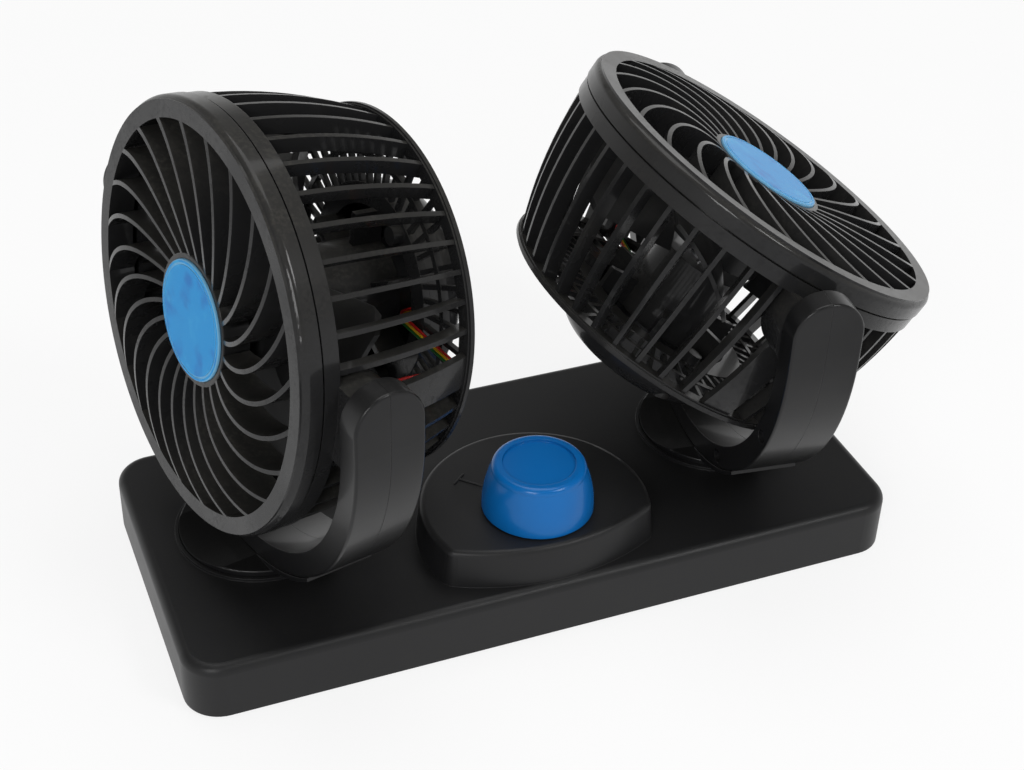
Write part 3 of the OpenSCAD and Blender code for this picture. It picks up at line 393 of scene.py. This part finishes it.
# %% Foam, rubber, ceramic and insulation
LEAD = dict(rough=0.3, size_mm=0.6, depth_mm=0.006)
PLAIN = {
    "foam_pad": dict(tint=(0.018, 0.018, 0.019), other=(0.026, 0.026, 0.027), rough=0.85,
                     size_mm=0.45, depth_mm=0.12, cells=True),
    "bush_rubber": dict(tint=(0.010, 0.010, 0.010), other=(0.015, 0.015, 0.015), rough=0.62,
                        size_mm=0.5, depth_mm=0.01),
    "washer_plastic": dict(tint=(0.62, 0.61, 0.55), other=(0.56, 0.55, 0.49), rough=0.4,
                           size_mm=0.8, depth_mm=0.005, Subsurface_Weight=0.1),
    "resistor_ceramic": dict(tint=(0.62, 0.59, 0.50), other=(0.54, 0.51, 0.43), rough=0.75,
                             size_mm=0.3, depth_mm=0.03),
    "lead_red": dict(tint=(0.42, 0.010, 0.008), other=(0.34, 0.008, 0.006), **LEAD),
    "lead_yellow": dict(tint=(0.62, 0.36, 0.010), other=(0.54, 0.30, 0.008), **LEAD),
    "lead_green": dict(tint=(0.010, 0.130, 0.020), other=(0.008, 0.100, 0.015), **LEAD),
}
PATCH = 8                    # a patch of the other tone is this many bumps across


def plain_finish(name, tint, other, rough, size_mm, depth_mm, cells=False, **fixed):
    """A finish mottled between two tones, with bumps of the given size and depth."""
    material, empty, shader = new_finish(name, **fixed)
    place = place_on(empty)
    size = size_mm * MM
    if cells:
        height = empty.add("TexVoronoi", {}, {"Vector": place, "Scale": 1 / size}, out="Distance")
    else:
        height = speckle(place, size, 3)
    colour = speckle(place, PATCH * size, 3).between(0.3, 0.7).blend(tint, other)
    join(shader, Base_Color=colour, Roughness=rough + 0.1 * (height - 0.5),
         Normal=bumps(height, 0.7, depth_mm * MM))
    return material


finishes.update({name: plain_finish(name, **numbers) for name, numbers in PLAIN.items()})
print("plain finishes:", len(PLAIN))

# %% [markdown]
# ## Giving each piece its finish
# The record of the solid model says which finish each piece has, by the name of a slot, and
# the table filled above turns those names into materials. The two discs differ, because each
# has its pale ring around its own head's axis.

# %% Assign the finishes
def finish_for(node, slot):
    """The material of one piece of the solid model."""
    if slot == "disc_blue":
        return disc_blues[node.split("_")[0]]
    return finishes[slot]


for piece in frame["record"]["subparts"]:
    mesh = nodes[piece["node"]].data
    mesh.materials.clear()
    mesh.materials.append(finish_for(piece["node"], piece["material_slot"]))

# %% [markdown]
# ## Making and seating a piece
# New pieces are drawn with bmesh, straight in the object's own metres. Each is a stack of
# rings of points with a skin over them. A helper turns the drawn mesh into an object, smooths
# it except at sharp corners, gives it a finish and lets it ride on the body that carries it.

# %% Piece helpers
SMOOTH_BELOW = math.radians(32)


def skin(drawn, rings):
    """Joins each ring of points to the next, and closes the first and the last."""
    for lower, upper in zip(rings, rings[1:]):
        for k in range(len(lower)):
            n = (k + 1) % len(lower)
            drawn.faces.new((lower[k], lower[n], upper[n], upper[k]))
    drawn.faces.new(rings[0])
    drawn.faces.new(rings[-1])


def make_piece(name, drawn, slot, body):
    """Turns a bmesh into a piece that has a slot's finish and moves with body."""
    bmesh.ops.recalc_face_normals(drawn, faces=drawn.faces)
    for face in drawn.faces:
        face.smooth = True
    for edge in drawn.edges:
        edge.smooth = edge.calc_face_angle(0) < SMOOTH_BELOW
    mesh = bpy.data.meshes.new(name)
    drawn.to_mesh(mesh)
    drawn.free()
    mesh.materials.append(finishes[slot])
    piece = bpy.data.objects.new(name, mesh)
    bpy.context.scene.collection.objects.link(piece)
    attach(piece, body)
    return piece


# %% [markdown]
# ## The shape of a screw
# A cross-headed screw is a dome with a tapered cross sunk in it. The cross has twelve corners,
# so the dome is drawn as rings of points that start on the cross's outline and end on the
# head's round edge: each ring blends the two. The head's side and the shank follow below it.

# %% Screw shape
RING_POINTS = 48
CROSS_REACH = 0.56           # this one and the next two are parts of the head's radius
CROSS_HALF_WIDTH = 0.15
DOME_EDGE = 0.93
CROSS_FLOOR = 0.55           # how much of the outline is left at the floor of the cross
DOME_RINGS = 5
HEAD_THICK = 1.5 * MM
CROSS_DEPTH = 0.62 * HEAD_THICK
DOME_DROP = 0.28 * HEAD_THICK
CROSS_LIP = 0.4 * DOME_DROP * CROSS_REACH ** 2
SIDE_FROM = 0.45 * HEAD_THICK
SHANK_RADIUS = 1.25 * MM
TIP_PART = 0.4               # the tip's radius, as a part of the shank's
TIP_LONG = 0.5 * SHANK_RADIUS


def round_point(k):
    """Point k of a ring of radius 1."""
    angle = math.tau * (k + 0.5) / RING_POINTS
    return Vector((math.cos(angle), math.sin(angle)))


def cross_point(k):
    """Point k of the cross's outline, at the same angle and in parts of the head's radius."""
    point = round_point(k)
    short_way, long_way = sorted((abs(point.x), abs(point.y)))
    return point * min(CROSS_REACH / long_way, CROSS_HALF_WIDTH / short_way)


def draw_screw(drawn, top, axis, radius, length):
    """A pan-head screw whose dome's middle is at top and which points along -axis."""
    side = axis.orthogonal().normalized()
    turn = axis.cross(side)
    cross = [cross_point(k) for k in range(RING_POINTS)]
    circle = [round_point(k) for k in range(RING_POINTS)]
    rings = []

    def ring(points, part, depth, drop=0.0):
        """A ring of points, shrunk to a part and lying deeper by drop towards its outside."""
        flat = [point * part for point in points]
        rings.append([drawn.verts.new(top + (side * p.x + turn * p.y) * radius
                                      - axis * (depth + drop * p.length_squared)) for p in flat])

    ring(cross, CROSS_FLOOR, CROSS_DEPTH)
    ring(cross, 1, CROSS_LIP)
    for step in range(1, DOME_RINGS + 1):
        share = step / DOME_RINGS
        blended = [c.lerp(r * DOME_EDGE, share) for c, r in zip(cross, circle)]
        ring(blended, 1, 0, DOME_DROP)
    shank = SHANK_RADIUS / radius
    for part, depth in ((1, SIDE_FROM), (1, HEAD_THICK), (shank, HEAD_THICK), (shank, length),
                        (TIP_PART * shank, length + TIP_LONG)):
        ring(circle, part, depth)
    skin(drawn, rings)


# %% [markdown]
# ## Where the screws stand
# The solid model has plain screws in the right places, several in one piece. Each separate
# solid in that piece is found by walking along its edges, in the order of its points, so that
# each run gives the same mesh. Its middle gives the line that it stands on, and the wider of
# its two ends is the head.

# %% Screws
SAME_POINT = 0.001 * MM
END_REACH = 0.3 * MM         # points this near to an end's level belong to that end
UP = Vector((0, 0, 1))


def islands(node):
    """The points of each separate solid in one piece of the solid model."""
    drawn = bmesh.new()
    drawn.from_mesh(nodes[node].data)
    bmesh.ops.remove_doubles(drawn, verts=drawn.verts, dist=SAME_POINT)
    seen, found = set(), []
    for first in drawn.verts:
        if first in seen:
            continue
        seen.add(first)
        grow, group = [first], []
        while grow:
            vert = grow.pop()
            group.append(vert.co.copy())
            for edge in vert.link_edges:
                other = edge.other_vert(vert)
                if other not in seen:
                    seen.add(other)
                    grow.append(other)
        found.append(group)
    drawn.free()
    return found


def dress_screws(node, axis, body):
    """Replaces the plain screws of one node, which stand along axis, with cross-headed ones."""
    drawn = bmesh.new()
    screws = islands(node)
    for points in screws:
        heights = [point.dot(axis) for point in points]
        low, high = min(heights), max(heights)
        middle = sum(points, Vector()) / len(points)
        line = middle - axis * middle.dot(axis)

        def radius_at(level):
            near = [p for p, height in zip(points, heights) if abs(height - level) < END_REACH]
            return max((p - line - axis * p.dot(axis)).length for p in near)

        radius, level, way = max((radius_at(low), low, -1), (radius_at(high), high, 1))
        draw_screw(drawn, line + axis * level, axis * way, radius, high - low)
    piece = make_piece(node + "_crossed", drawn, "screw_metal", body)
    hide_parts(node)
    return len(screws)


made = dress_screws("cover_screws", UP, "base")
for side in ("left", "right"):
    fore = UP.cross(Vector(joints[side + "_tilt"]["axis"]))
    spin_axis = Vector(joints[side + "_spin"]["axis"])
    made += dress_screws(side + "_yoke_screws", fore, side + "_swivel")
    made += dress_screws(side + "_cap_screws", spin_axis, side + "_head")
print("cross-headed screws:", made)

# %% [markdown]
# ## Foam pads
# The three pads under the base are cut from sheet foam. Cut foam has crisp faces but no
# knife-sharp corners, so each is a slab with well rounded plan corners whose edges are
# softened by a small bevel.

# %% Foam pads
PAD_CORNER = 4 * MM
PAD_SOFT = 0.25 * MM
CORNER_STEPS = 8
QUARTERS = ((1, 1), (-1, 1), (-1, -1), (1, -1))


def draw_pad(drawn, low, high):
    """A slab between two corners, with round plan corners and a soft edge."""
    mid, half = (low + high) / 2, (high - low) / 2
    levels = ((low.z, PAD_SOFT), (low.z + PAD_SOFT, 0), (high.z - PAD_SOFT, 0), (high.z, PAD_SOFT))
    rings = []
    for level, inset in levels:
        out = PAD_CORNER - inset
        ring = []
        for quarter, (sx, sy) in enumerate(QUARTERS):
            x = mid.x + sx * (half.x - PAD_CORNER)
            y = mid.y + sy * (half.y - PAD_CORNER)
            for step in range(CORNER_STEPS + 1):
                angle = (quarter + step / CORNER_STEPS) * math.pi / 2
                place = (x + out * math.cos(angle), y + out * math.sin(angle), level)
                ring.append(drawn.verts.new(place))
        rings.append(ring)
    skin(drawn, rings)


drawn = bmesh.new()
pad_groups = islands("mounting_pads")
for group in pad_groups:
    low = Vector([min(p[i] for p in group) for i in range(3)])
    high = Vector([max(p[i] for p in group) for i in range(3)])
    draw_pad(drawn, low, high)
pads = make_piece("foam_pads", drawn, "foam_pad", "base")
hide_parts("mounting_pads")
print("foam pads:", len(pad_groups))

# %% [markdown]
# ## Mark on the pod
# A raised tick beside the knob shows where it points when it is off: a line towards the knob's
# middle, with a short one across its far end. Each is a bar with round ends, a third of a
# millimetre high, sunk a little into the pod so that no gap shows.

# %% Mark on the pod
POD_TOP = 33.9 * MM
MARK_HEIGHT = 0.3 * MM
MARK_SINK = 0.2 * MM
MARK_HALF_WIDTH = 0.45 * MM
MARK_CREST = 0.6             # where the top's bevel starts, and how wide the top is
END_STEPS = 8
MARK_BARS = (((-21.9, -11.7), (-17.5, -8.0)), ((-19.6, -10.0), (-13.4, -16.2)))    # mm, in plan


def draw_bar(drawn, start, end):
    """A raised bar with round ends on the pod's top, from start to end in plan."""
    along = (end - start).normalized()
    across = Vector((-along.y, along.x))
    rings = []
    for rise, half in ((-MARK_SINK, MARK_HALF_WIDTH),
                       (MARK_CREST * MARK_HEIGHT, MARK_HALF_WIDTH),
                       (MARK_HEIGHT, MARK_CREST * MARK_HALF_WIDTH)):
        ring = []
        for centre, first in ((end, -math.pi / 2), (start, math.pi / 2)):
            for step in range(END_STEPS + 1):
                angle = first + math.pi * step / END_STEPS
                flat = centre + (along * math.cos(angle) + across * math.sin(angle)) * half
                ring.append(drawn.verts.new((flat.x, flat.y, POD_TOP + rise)))
        rings.append(ring)
    skin(drawn, rings)


drawn = bmesh.new()
for start, end in MARK_BARS:
    draw_bar(drawn, Vector(start) * MM, Vector(end) * MM)
make_piece("pod_mark", drawn, "base_plastic", "base")
print("bars in the mark:", len(MARK_BARS))

# %% [markdown]
# ## The floor
# The fan stands on a plain pale floor. It shows white to the camera and in reflections, with a
# part of the true shadow left near the fan, and turns pure white further out, so that no
# horizon shows from low down. A Mix Shader does it, between the lit floor and a plain glow.

# %% Floor
FLOOR_HALF = 6.0
FLOOR_LIFT = 0.82            # how much of the glow is shown beside the fan
GLOW_FROM, GLOW_FULL = 0.35, 1.2          # metres from the fan
FLOOR_TONES = (0.90, 0.90, 0.90), (0.93, 0.93, 0.93)
floor_mesh = bpy.data.meshes.new("floor")
corners = [(x * FLOOR_HALF, y * FLOOR_HALF, 0) for x, y in ((-1, -1), (1, -1), (1, 1), (-1, 1))]
floor_mesh.from_pydata(corners, [], [(0, 1, 2, 3)])
floor = bpy.data.objects.new("floor", floor_mesh)
bpy.context.scene.collection.objects.link(floor)

floor_material, empty, shader = new_finish("floor", Specular_IOR_Level=0.1, Roughness=0.9)
mottle = speckle(place_on(empty), 50 * MM)
join(shader, Base_Color=mottle.blend(*FLOOR_TONES))


def background_rays(empty):
    """1 for the rays that show a background: seen, mirrored or through glass."""
    kinds = ("Is Camera Ray", "Is Glossy Ray", "Is Transmission Ray")
    rays = [empty.add("LightPath", out=kind) for kind in kinds]
    return sum(rays[1:], rays[0]).between(0, 1)


white = empty.add("Emission", {}, {"Color": (1, 1, 1, 1), "Strength": 1.0})
away = empty.add("VectorMath", {"operation": "LENGTH"}, {0: place_on(empty)}, out="Value")
far = away.between(GLOW_FROM, GLOW_FULL)
shown = background_rays(empty) * (FLOOR_LIFT + (1 - FLOOR_LIFT) * far)
both = empty.add("MixShader", {}, {0: shown, 1: Wire(empty.net, shader.outputs[0]), 2: white})
empty.net.links.new(both.socket, empty.net.nodes["Material Output"].inputs["Surface"])
floor_mesh.materials.append(floor_material)
print("floor:", 2 * FLOOR_HALF, "m wide")

# %% [markdown]
# ## The room
# What one sees of black plastic is mostly what it mirrors, so the room matters more than the
# lamps. Its walls are white, as the floor is, but the sky above dims, which leaves the faces
# that look up darker than those that look out.

# %% Sky
WALL_TOP = 0.10              # height on the sky where the white walls end, 1 being straight up
CEILING_FROM = 0.50
CEILING_LEVEL = 0.22
world = bpy.data.worlds.new("studio")
world.use_nodes = True
bpy.context.scene.world = world
empty = Wire(world.node_tree)
background = world.node_tree.nodes["Background"]
background.inputs["Color"].default_value = (1, 1, 1, 1)
height = empty.add("SeparateXYZ", {}, {0: empty.add("TexCoord", out="Generated")}, out="Z")
level = 1 - (1 - CEILING_LEVEL) * height.between(WALL_TOP, CEILING_FROM)
world.node_tree.links.new(level.socket, background.inputs["Strength"])
print("sky: from 1 at the walls to", CEILING_LEVEL, "overhead")

# %% [markdown]
# ## The lamps
# Three square soft lamps give the photograph's lights: one high behind for the tops, and two
# in front, left and right, that draw the long highlights on yokes, rings and knob.

# %% Lamps
LOOK_AT = Vector((0, 0, 0.07))
LAMPS = {                    # place and size in metres, power in watts
    "overhead": ((0.1, 0.3, 1.5), 1.0, 9.0),
    "key": ((0.7, -1.0, 1.3), 0.45, 8.0),
    "fill": ((-0.85, -1.1, 0.95), 0.5, 9.0),
}


def lamp(name, place, size, watts):
    """A square soft lamp that faces the fan."""
    data = bpy.data.lights.new(name, "AREA")
    data.size = size
    data.energy = watts
    lit = bpy.data.objects.new(name, data)
    bpy.context.scene.collection.objects.link(lit)
    lit.location = place
    lit.rotation_mode = "QUATERNION"
    lit.rotation_quaternion = (LOOK_AT - Vector(place)).to_track_quat("-Z", "Y")


for name, (place, size, watts) in LAMPS.items():
    lamp(name, place, size, watts)
print("lamps:", len(LAMPS))
